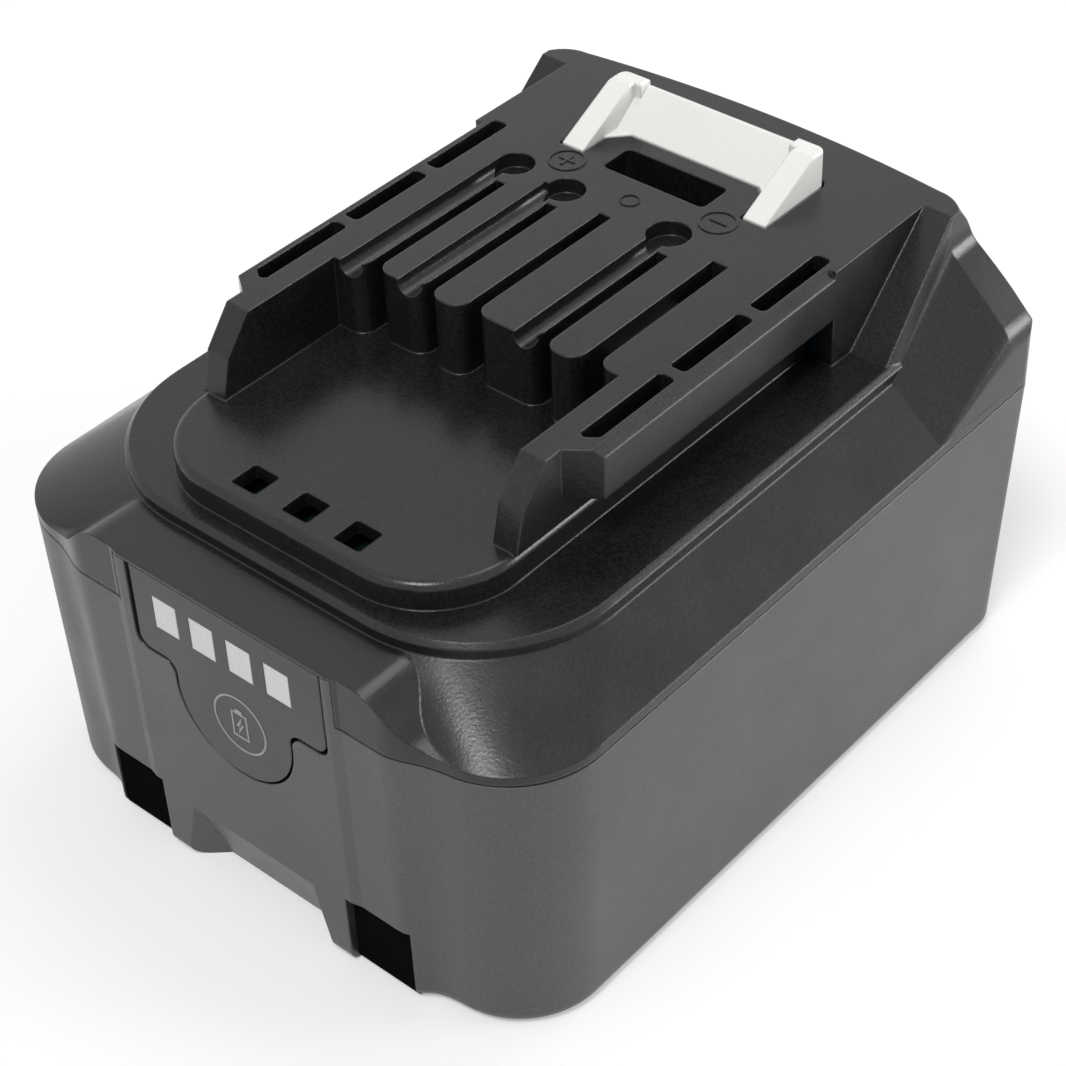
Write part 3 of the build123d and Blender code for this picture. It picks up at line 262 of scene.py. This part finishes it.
def seen_rays(tree):
    """1 for what the camera, a reflection or glass shows, and 0 for the light that falls on things."""
    rays = tree.nodes.new("ShaderNodeLightPath").outputs
    mirrored = calculate(tree, "MAXIMUM", rays["Is Glossy Ray"], rays["Is Transmission Ray"])
    return calculate(tree, "MAXIMUM", rays["Is Camera Ray"], mirrored)


# Shader groups that several finishes share

# Streaks per metre of a metal along x, y and z
STREAKS_ALONG_X = (400.0, 6000.0, 6000.0)
STREAKS_ALONG_Y = (6000.0, 400.0, 6000.0)
STREAKS_ALONG_Z = (4000.0, 4000.0, 800.0)
EVEN_GRAIN = (3000.0, 3000.0, 3000.0)


def new_group(name, takes, gives):
    """Empty group with named inputs and outputs, and the sockets that its inside reads and fills."""
    group = bpy.data.node_groups.new(name, "ShaderNodeTree")
    for title, kind, value in takes:
        socket = group.interface.new_socket(name=title, in_out="INPUT", socket_type=kind)
        socket.default_value = value
    for title, kind in gives:
        group.interface.new_socket(name=title, in_out="OUTPUT", socket_type=kind)
    entry = group.nodes.new("NodeGroupInput")
    leave = group.nodes.new("NodeGroupOutput")
    return group, entry.outputs, leave.inputs


def make_grain():
    """Fine pits of a spark-eroded mould, a slow mottle in the colour and a slow drift in the gloss."""
    fine_share = 0.75
    speck_range = (0.38, 0.62)
    drift_range = (0.30, 0.70)
    patches_per_metre = 90.0
    group, takes, gives = new_group(
        "moulded_grain",
        [("Base", "NodeSocketColor", (0.03, 0.03, 0.03, 1)),
         ("Light", "NodeSocketColor", (0.05, 0.05, 0.05, 1)),
         ("Grains per metre", "NodeSocketFloat", 3000.0),
         ("Gloss low", "NodeSocketFloat", 0.40),
         ("Gloss high", "NodeSocketFloat", 0.55)],
        [("Color", "NodeSocketColor"), ("Roughness", "NodeSocketFloat"), ("Height", "NodeSocketFloat")])
    place = object_place(group)
    fine = noise(group, place, takes["Grains per metre"], detail=3.0, roughness=0.6)
    slow = noise(group, place, patches_per_metre, detail=4.0)
    slow_part = calculate(group, "MULTIPLY", slow, 1 - fine_share)
    mottle = calculate(group, "MULTIPLY_ADD", fine, fine_share, slow_part)
    specks = spread(group, mottle, *speck_range)
    gloss = spread(group, slow, *drift_range, takes["Gloss low"], takes["Gloss high"])
    feed(group, gives["Color"], mix_colours(group, specks, takes["Base"], takes["Light"]))
    feed(group, gives["Roughness"], gloss)
    feed(group, gives["Height"], fine)
    return group


def make_edges():
    """Rounded normals along sharp edges, and a mask that is 1 on those edges."""
    group, takes, gives = new_group(
        "moulded_edges", [("Radius", "NodeSocketFloat", 0.3 * mm), ("Reach", "NodeSocketFloat", 4.0)],
        [("Normal", "NodeSocketVector"), ("Edge", "NodeSocketFloat")])
    bevel = group.nodes.new("ShaderNodeBevel")
    bevel.samples = 6
    feed(group, bevel.inputs["Radius"], takes["Radius"])
    rounded = bevel.outputs["Normal"]
    plain = group.nodes.new("ShaderNodeNewGeometry").outputs["Normal"]
    likeness = vector_node(group, "DOT_PRODUCT", rounded, plain).outputs["Value"]
    turned = calculate(group, "SUBTRACT", 1.0, likeness)
    feed(group, gives["Normal"], rounded)
    feed(group, gives["Edge"], calculate(group, "MULTIPLY", turned, takes["Reach"], clamp=True))
    return group


def make_rolled():
    """Rolled or plated metal: long fine streaks along one axis."""
    polish_range = (0.22, 0.48)
    group, takes, gives = new_group(
        "rolled_metal",
        [("Base", "NodeSocketColor", (0.6, 0.6, 0.6, 1)),
         ("Dull", "NodeSocketColor", (0.4, 0.4, 0.4, 1)),
         ("Stretch", "NodeSocketVector", STREAKS_ALONG_X)],
        [("Color", "NodeSocketColor"), ("Roughness", "NodeSocketFloat"), ("Height", "NodeSocketFloat")])
    stretched = vector_node(group, "MULTIPLY", object_place(group), takes["Stretch"])
    streak = noise(group, stretched.outputs["Vector"], scale=1.0, detail=3.0)
    feed(group, gives["Color"], mix_colours(group, streak, takes["Base"], takes["Dull"]))
    feed(group, gives["Roughness"], spread(group, streak, 0.0, 1.0, *polish_range))
    feed(group, gives["Height"], streak)
    return group


def place_group(tree, name, values):
    """Places a shared group in a material, makes it first where it is new, and returns its outputs."""
    makers = {"moulded_grain": make_grain, "moulded_edges": make_edges, "rolled_metal": make_rolled}
    node = tree.nodes.new("ShaderNodeGroup")
    node.node_tree = bpy.data.node_groups.get(name) or makers[name]()
    for title, value in values.items():
        feed(tree, node.inputs[title], value)
    return node.outputs


# Finishes

# How much paler the specks of a plastic are than its base colour
CASE_SPECKS = 3.0
INSERT_SPECKS = 2.4
SHADE_PAD_SPECKS = 1.3
INK_SPECKS = 1.2
WINDOW_SPECKS = 1.1
LATCH_SPECKS = 1.04

# Roughness of a moulded piece that has none of its own
PLAIN_GLOSS = (0.26, 0.36)

# Finish, base colour, paler specks, range of roughness and the nodes that wear it
INNER_PLASTICS = [
    ("frame_nylon", (0.03, 0.03, 0.032), (0.05, 0.05, 0.052), PLAIN_GLOSS,
     ["cell_frame_front", "cell_frame_rear", "light_baffle", "switch_plunger"]),
    ("board_laminate", (0.003, 0.012, 0.006), (0.005, 0.018, 0.009), (0.22, 0.34),
     ["circuit_board", "gauge_board"]),
    ("insulating_paper", (0.60, 0.56, 0.46), (0.68, 0.64, 0.54), (0.6, 0.75), ["insulator"]),
    ("chip_resin", (0.015, 0.015, 0.016), (0.024, 0.024, 0.025), PLAIN_GLOSS,
     ["controller_chip", "tact_switch"]),
    ("lamp_resin", (0.70, 0.70, 0.62), (0.78, 0.78, 0.70), (0.2, 0.3), ["gauge_leds"]),
    ("sensor_bead", (0.02, 0.02, 0.05), (0.03, 0.03, 0.07), (0.2, 0.3), ["thermistor"]),
]

# Finish, base colour, duller streaks, their direction and the nodes that wear it
INNER_METALS = [
    ("nickel_strip", (0.66, 0.64, 0.60), (0.50, 0.48, 0.44), STREAKS_ALONG_X,
     ["strip_negative", "strip_front_link", "strip_rear_link", "strip_positive", "lead_negative",
      "lead_middle"]),
    ("plated_contact", (0.72, 0.70, 0.66), (0.55, 0.53, 0.50), STREAKS_ALONG_Y,
     ["contact_positive", "contact_negative", "signal_contacts"]),
    ("blackened_steel", (0.10, 0.10, 0.10), (0.05, 0.05, 0.05), EVEN_GRAIN, ["case_screws"]),
]


def tint(colour, times):
    """A colour made paler or darker."""
    return tuple(min(1.0, part * times) for part in colour)


def blank(name):
    """A material with only a Principled shader wired to its output."""
    finish = bpy.data.materials.new(name)
    finish.use_nodes = True
    tree = finish.node_tree
    tree.nodes.clear()
    leave = tree.nodes.new("ShaderNodeOutputMaterial")
    shader = tree.nodes.new("ShaderNodeBsdfPrincipled")
    tree.links.new(shader.outputs["BSDF"], leave.inputs["Surface"])
    return finish, shader


def moulded(name, colour, pale, gloss=PLAIN_GLOSS, depth=None, edge_tone=2.2, shine=0.5):
    """Injection-moulded plastic: pitted texture, rounded edge normals, and colour made slightly paler along
    sharp edges.
    """
    look = bpy.context.scene.pack_finish
    edge_reach = 3.0
    pit_strength = 0.6
    finish, shader = blank(name)
    tree = finish.node_tree
    pits = place_group(tree, "moulded_grain", {
        "Base": (*colour, 1), "Light": (*pale, 1), "Grains per metre": 1 / look.grain_size,
        "Gloss low": gloss[0], "Gloss high": gloss[1]})
    rims = place_group(tree, "moulded_edges", {"Radius": look.edge_round, "Reach": edge_reach})
    # Colour made paler along sharp edges, broken up by the grain's height
    pale_edge_share = calculate(tree, "MULTIPLY", rims["Edge"], pits["Height"])
    pale_edged_colour = mix_colours(tree, pale_edge_share, pits["Color"], (*tint(pale, edge_tone), 1))
    bump = bumped(tree, pits["Height"], pit_strength, depth or look.grain_depth)
    feed(tree, bump.inputs["Normal"], rims["Normal"])
    feed(tree, shader.inputs["Base Color"], pale_edged_colour)
    feed(tree, shader.inputs["Roughness"], pits["Roughness"])
    feed(tree, shader.inputs["Specular IOR Level"], shine)
    feed(tree, shader.inputs["Normal"], bump.outputs["Normal"])
    return finish


def metal(name, colour, dull, stretch):
    """Nickel-plated, blackened or drawn steel with its streaks."""
    streak_strength = 0.3
    streak_depth = 0.01 * mm
    finish, shader = blank(name)
    tree = finish.node_tree
    rolled = place_group(tree, "rolled_metal", {"Base": (*colour, 1), "Dull": (*dull, 1), "Stretch": stretch})
    bump = bumped(tree, rolled["Height"], streak_strength, streak_depth)
    feed(tree, shader.inputs["Metallic"], 1.0)
    feed(tree, shader.inputs["Base Color"], rolled["Color"])
    feed(tree, shader.inputs["Roughness"], rolled["Roughness"])
    feed(tree, shader.inputs["Normal"], bump.outputs["Normal"])
    return finish


def dress(finish, *names):
    """Gives a finish to CAD nodes, in place of the plain one they come with."""
    for name in names:
        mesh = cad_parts[name].data
        mesh.materials.clear()
        mesh.materials.append(finish)


# Forms of the scene's own pieces


def add_piece(name, form, finish):
    """Turns a finished form into a piece of the scene."""
    mesh = bpy.data.meshes.new(name)
    form.to_mesh(mesh)
    form.free()
    mesh.materials.append(finish)
    piece = bpy.data.objects.new(name, mesh)
    bpy.context.scene.collection.objects.link(piece)
    return piece


def flat_piece(name, outlines, finish, thick, origin, across, up):
    """Thin raised piece made of closed outlines, drawn at the origin along two unit directions."""
    origin, across, up = Vector(origin), Vector(across), Vector(up)
    form = bmesh.new()
    for outline in outlines:
        flat = form.faces.new([form.verts.new(origin + across * x + up * y) for x, y in outline])
        raised = bmesh.ops.extrude_face_region(form, geom=[flat])
        moved = [part for part in raised["geom"] if isinstance(part, bmesh.types.BMVert)]
        bmesh.ops.translate(form, verts=moved, vec=across.cross(up) * thick)
    bmesh.ops.recalc_face_normals(form, faces=form.faces)
    return add_piece(name, form, finish)


def ring_outlines(radius, line, steps=48):
    """A ring as a strip of small quads, so that no outline has a hole."""
    quads = []
    for step in range(steps):
        a, b = (2 * math.pi * (step + k) / steps for k in (0, 1))
        corners = [(radius, a), (radius + line, a), (radius + line, b), (radius, b)]
        quads.append([(r * math.cos(t), r * math.sin(t)) for r, t in corners])
    return quads


def bar(x0, y0, x1, y1):
    """A rectangle between two opposite corners."""
    return [(x0, y0), (x1, y0), (x1, y1), (x0, y1)]


# Operators


class PackCases(Operator):
    """Dark plastic with a fine texture on the cases and the release button, and black pads in the two foot
    notches that paint the shade inside them
    """

    bl_idname = "pack.cases"
    bl_label = "Cases"

    def execute(self, context):
        look = context.scene.pack_finish
        satin = moulded(
            "satin_case", look.case_colour, tint(look.case_colour, CASE_SPECKS), gloss=(0.20, 0.28),
            shine=look.case_shine)
        dress(satin, "upper_case", "release_button")
        matt = moulded(
            "matt_case", look.tub_colour, tint(look.tub_colour, CASE_SPECKS), gloss=(0.34, 0.46),
            shine=look.tub_shine)
        dress(matt, "lower_case")
        # Black pads with no shine in the foot notches, painting the shade inside them
        shade_rubber = moulded(
            "notch_shade_pad_rubber", look.notch_shade_colour, tint(look.notch_shade_colour, SHADE_PAD_SPECKS), gloss=(0.7, 0.85),
            shine=0.0)
        dress(shade_rubber, "foot_pads")
        return {"FINISHED"}


class PackGauge(Operator):
    """Smoother dark plastic on the check button and milky light pipes behind its windows"""

    bl_idname = "pack.gauge"
    bl_label = "Charge gauge"

    def execute(self, context):
        look = context.scene.pack_finish
        smooth = moulded(
            "gauge_insert", look.insert_colour, tint(look.insert_colour, INSERT_SPECKS), gloss=(0.34, 0.46),
            shine=0.75)
        dress(smooth, "check_button")
        milk = moulded(
            "milky_window", look.window_colour, tint(look.window_colour, WINDOW_SPECKS), gloss=(0.30, 0.42),
            depth=0.005 * mm, edge_tone=1.1)
        dress(milk, "gauge_windows")
        return {"FINISHED"}


class PackLatch(Operator):
    """White plastic on the latch hook"""

    bl_idname = "pack.latch"
    bl_label = "Latch"

    def execute(self, context):
        look = context.scene.pack_finish
        white = moulded(
            "white_latch", look.latch_colour, tint(look.latch_colour, LATCH_SPECKS), gloss=(0.36, 0.5),
            depth=0.008 * mm, edge_tone=1.05)
        dress(white, "latch")
        return {"FINISHED"}


class PackInside(Operator):
    """Cells, frames, links, board and other inner pieces"""

    bl_idname = "pack.inside"
    bl_label = "Inner pieces"

    def execute(self, context):
        wrap = moulded(
            "shrink_wrap", (0.010, 0.020, 0.028), (0.014, 0.028, 0.038), gloss=(0.25, 0.35), depth=0.004 * mm)
        dress(wrap, *(f"cell_{n}" for n in range(1, 7)))
        for name, colour, pale, gloss, wearers in INNER_PLASTICS:
            dress(moulded(name, colour, pale, gloss), *wearers)
        for name, colour, dull, stretch, wearers in INNER_METALS:
            dress(metal(name, colour, dull, stretch), *wearers)
        return {"FINISHED"}


class PackSprings(Operator):
    """Two wound springs under the latch, in place of the plain tubes"""

    bl_idname = "pack.springs"
    bl_label = "Latch springs"

    def execute(self, context):
        coils = context.scene.pack_coils
        low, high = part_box("latch_springs")
        outer = (high.y - low.y) / 2
        form = bmesh.new()
        for x in (low.x + outer, high.x - outer):
            foot = Vector((x, (low.y + high.y) / 2, low.z))
            self.wind(form, foot, high.z - low.z, outer, coils)
        bmesh.ops.recalc_face_normals(form, faces=form.faces)
        wire = metal("music_wire", (0.60, 0.60, 0.60), (0.42, 0.42, 0.42), STREAKS_ALONG_Z)
        springs = add_piece("coil_springs", form, wire)
        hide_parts("latch_springs")
        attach(springs, "pack")
        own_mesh(springs)
        return {"FINISHED"}

    def wind(self, form, foot, height, outer, coils, steps=20, sides=8):
        """One spring on its foot, with a closed turn at each end."""
        up = Vector((0, 0, 1))
        wire, turns = coils.wire, coils.turns
        rise = (height - 3 * wire) / (turns - 2)
        rings = []
        for step in range(turns * steps + 1):
            turn = step / steps
            closed = min(turn, 1) + max(0, turn - turns + 1)
            lift = wire / 2 + wire * closed + rise * (turn - closed)
            across = Vector((math.cos(2 * math.pi * turn), math.sin(2 * math.pi * turn), 0))
            middle = foot + across * (outer - wire / 2) + up * lift
            ring = []
            for side in range(sides):
                bend = 2 * math.pi * side / sides
                reach = across * math.cos(bend) + up * math.sin(bend)
                ring.append(form.verts.new(middle + reach * wire / 2))
            rings.append(ring)
        for one, two in zip(rings, rings[1:]):
            for side in range(sides):
                after = (side + 1) % sides
                form.faces.new((one[side], one[after], two[after], two[side])).smooth = True
        form.faces.new(rings[0])
        form.faces.new(rings[-1])


class PackPrint(Operator):
    """Printed ring, cell outline and bolt on the check button"""

    bl_idname = "pack.button_print"
    bl_label = "Button print"

    def execute(self, context):
        ink = context.scene.pack_finish.ink_colour
        marks = context.scene.pack_marks
        film = 0.03 * mm
        grey = moulded(
            "grey_ink", ink, tint(ink, INK_SPECKS), gloss=(0.45, 0.6), depth=0.003 * mm, edge_tone=1)
        outlines = ring_outlines(marks.ring_radius, marks.ring_line) + self.charged_cell(marks.ring_line)
        printed = flat_piece("button_print", outlines, grey, film, marks.button_centre, (1, 0, 0), (0, 0, 1))
        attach(printed, "check_button")
        return {"FINISHED"}

    def charged_cell(self, line):
        """A standing cell with its cap, and a bolt of two wedges, the second turned half round."""
        half, foot, head = 1.05 * mm, -1.75 * mm, 1.45 * mm
        cap_half, cap_height = 0.45 * mm, 0.38 * mm
        wedge = [(0.32 * mm, 1.05 * mm), (-0.50 * mm, -0.35 * mm), (0.02 * mm, -0.35 * mm)]
        return [
            bar(-half, foot, -half + line, head),
            bar(half - line, foot, half, head),
            bar(-half + line, foot, half - line, foot + line),
            bar(-half + line, head - line, half - line, head),
            bar(-cap_half, head, cap_half, head + cap_height),
            wedge,
            [(-x, foot + head - y) for x, y in wedge],
        ]


class PackSigns(Operator):
    """Moulded plus and minus signs in rings, and the ejector pin's mark, on the deck"""

    bl_idname = "pack.deck_signs"
    bl_label = "Deck signs"

    def execute(self, context):
        look = context.scene.pack_finish
        marks = context.scene.pack_marks
        raised = moulded(
            "raised_sign", tint(look.case_colour, 1.5), tint(look.case_colour, 2.2), gloss=(0.28, 0.36),
            shine=look.case_shine)
        line, arm, pin_line, thick = 0.25 * mm, 1.0 * mm, 0.16 * mm, 0.12 * mm
        ring = ring_outlines(marks.sign_radius, line)
        level = bar(-arm, -line / 2, arm, line / 2)
        upright = [bar(-line / 2, line / 2, line / 2, arm), bar(-line / 2, -arm, line / 2, -line / 2)]
        signs = [
            ("plus_sign", ring + [level] + upright, marks.plus_centre),
            ("minus_sign", ring + [level], marks.minus_centre),
            ("pin_mark", ring_outlines(marks.pin_radius, pin_line), marks.pin_mark),
        ]
        for name, outlines, centre in signs:
            piece = flat_piece(name, outlines, raised, thick, centre, (1, 0, 0), (0, 1, 0))
            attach(piece, "pack")
        return {"FINISHED"}


class PackStage(Operator):
    """Pale floor, room light that fades towards the horizon, three soft boxes and the camera"""

    bl_idname = "pack.stage"
    bl_label = "Studio"

    def execute(self, context):
        studio = context.scene.pack_studio
        self.make_floor(studio)
        self.light_room(context, studio)
        self.soft_box(
            context, "front_box", studio.front_lamp,
            place=(0.14, -0.44, 0.88), target=(0.02, -0.03, 0.035), width=0.28)
        self.soft_box(
            context, "side_box", studio.side_lamp,
            place=(0.70, 0.60, 0.20), target=(0.12, 0.06, 0.0), width=0.36)
        self.soft_box(
            context, "top_box", studio.top_lamp,
            place=(0.02, 0.40, 0.92), target=(0.0, 0.0, 0.03), width=0.40)
        self.place_camera(context, studio)
        context.scene.view_settings.view_transform = "Standard"
        return {"FINISHED"}

    def make_floor(self, studio):
        """A matt floor, which the camera and reflections see turn to plain white with its distance."""
        reach = 3.0
        fade_start, fade_end = 0.25, 0.90
        paper, shader = blank("studio_paper")
        tree = paper.node_tree
        feed(tree, shader.inputs["Base Color"], (*studio.floor_colour, 1))
        feed(tree, shader.inputs["Roughness"], 0.9)
        feed(tree, shader.inputs["Specular IOR Level"], 0.1)
        distance = vector_node(tree, "LENGTH", object_place(tree)).outputs["Value"]
        white_part = spread(tree, distance, fade_start, fade_end, studio.floor_white)
        share = calculate(tree, "MULTIPLY", seen_rays(tree), white_part)
        white = tree.nodes.new("ShaderNodeEmission").outputs["Emission"]
        shown = mix_shaders(tree, share, shader.outputs["BSDF"], white)
        tree.links.new(shown, tree.nodes["Material Output"].inputs["Surface"])
        form = bmesh.new()
        bmesh.ops.create_grid(form, x_segments=8, y_segments=8, size=reach)
        floor = add_piece("studio_floor", form, paper)

    def light_room(self, context, studio):
        """Light that falls off towards the horizon, before a plain white background."""
        world = bpy.data.worlds.new("studio_room")
        world.use_nodes = True
        tree = world.node_tree
        tree.nodes.clear()
        leave = tree.nodes.new("ShaderNodeOutputWorld")
        lit = tree.nodes.new("ShaderNodeBackground")
        shown = tree.nodes.new("ShaderNodeBackground")
        for background in (lit, shown):
            background.inputs["Color"].default_value = (1, 1, 1, 1)
        direction = tree.nodes.new("ShaderNodeSeparateXYZ")
        feed(tree, direction.inputs[0], tree.nodes.new("ShaderNodeTexCoord").outputs["Generated"])
        strength = spread(tree, direction.outputs["Z"], 0.0, 1.0, studio.wall_light, studio.world_light)
        feed(tree, lit.inputs["Strength"], strength)
        room = mix_shaders(tree, seen_rays(tree), lit.outputs[0], shown.outputs[0])
        tree.links.new(room, leave.inputs["Surface"])
        context.scene.world = world

    def soft_box(self, context, name, power, place, target, width):
        """A square lamp that faces its target."""
        lamp = bpy.data.lights.new(name, "AREA")
        lamp.shape = "SQUARE"
        lamp.size = width
        lamp.energy = power
        box = bpy.data.objects.new(name, lamp)
        box.location = place
        aim = Vector(target) - Vector(place)
        box.rotation_euler = aim.to_track_quat("-Z", "Y").to_euler()
        context.scene.collection.objects.link(box)

    def place_camera(self, context, studio):
        """The camera at the photograph's viewing angle."""
        lens = bpy.data.cameras.new("photo_camera")
        lens.lens = studio.camera_lens
        lens.sensor_width = 36.0
        lens.clip_start = 0.01
        lens.clip_end = 20.0
        camera = bpy.data.objects.new("photo_camera", lens)
        camera.location = studio.camera_place
        camera.rotation_euler = studio.camera_turn
        context.scene.collection.objects.link(camera)
        context.scene.camera = camera


class PackPanel(Panel):
    """Lists the operators that dress the pack"""

    bl_idname = "VIEW3D_PT_battery_pack"
    bl_label = "Battery pack"
    bl_space_type = "VIEW_3D"
    bl_region_type = "UI"
    bl_category = "Battery pack"

    def draw(self, context):
        layout = self.layout
        for settings in SETTINGS:
            group = getattr(context.scene, settings)
            box = layout.box()
            for prop in group.bl_rna.properties:
                if prop.identifier not in {"rna_type", "name"}:
                    box.prop(group, prop.identifier)
        for step in STEPS:
            layout.operator(step.bl_idname)


SETTINGS = {
    "pack_finish": PackFinish, "pack_marks": PackMarks, "pack_coils": PackCoils, "pack_studio": PackStudio}
STEPS = (PackStage, PackCases, PackGauge, PackLatch, PackInside, PackSprings, PackPrint, PackSigns)


def register():
    for kind in (*SETTINGS.values(), *STEPS, PackPanel):
        bpy.utils.register_class(kind)
    for name, kind in SETTINGS.items():
        setattr(bpy.types.Scene, name, PointerProperty(type=kind))


def unregister():
    for name in SETTINGS:
        delattr(bpy.types.Scene, name)
    for kind in reversed((*SETTINGS.values(), *STEPS, PackPanel)):
        bpy.utils.unregister_class(kind)


def main():
    register()
    bpy.ops.pack.stage()
    bpy.ops.pack.cases()
    bpy.ops.pack.gauge()
    bpy.ops.pack.latch()
    bpy.ops.pack.inside()
    bpy.ops.pack.springs()
    bpy.ops.pack.button_print()
    bpy.ops.pack.deck_signs()


if __name__ == "__main__":
    main()
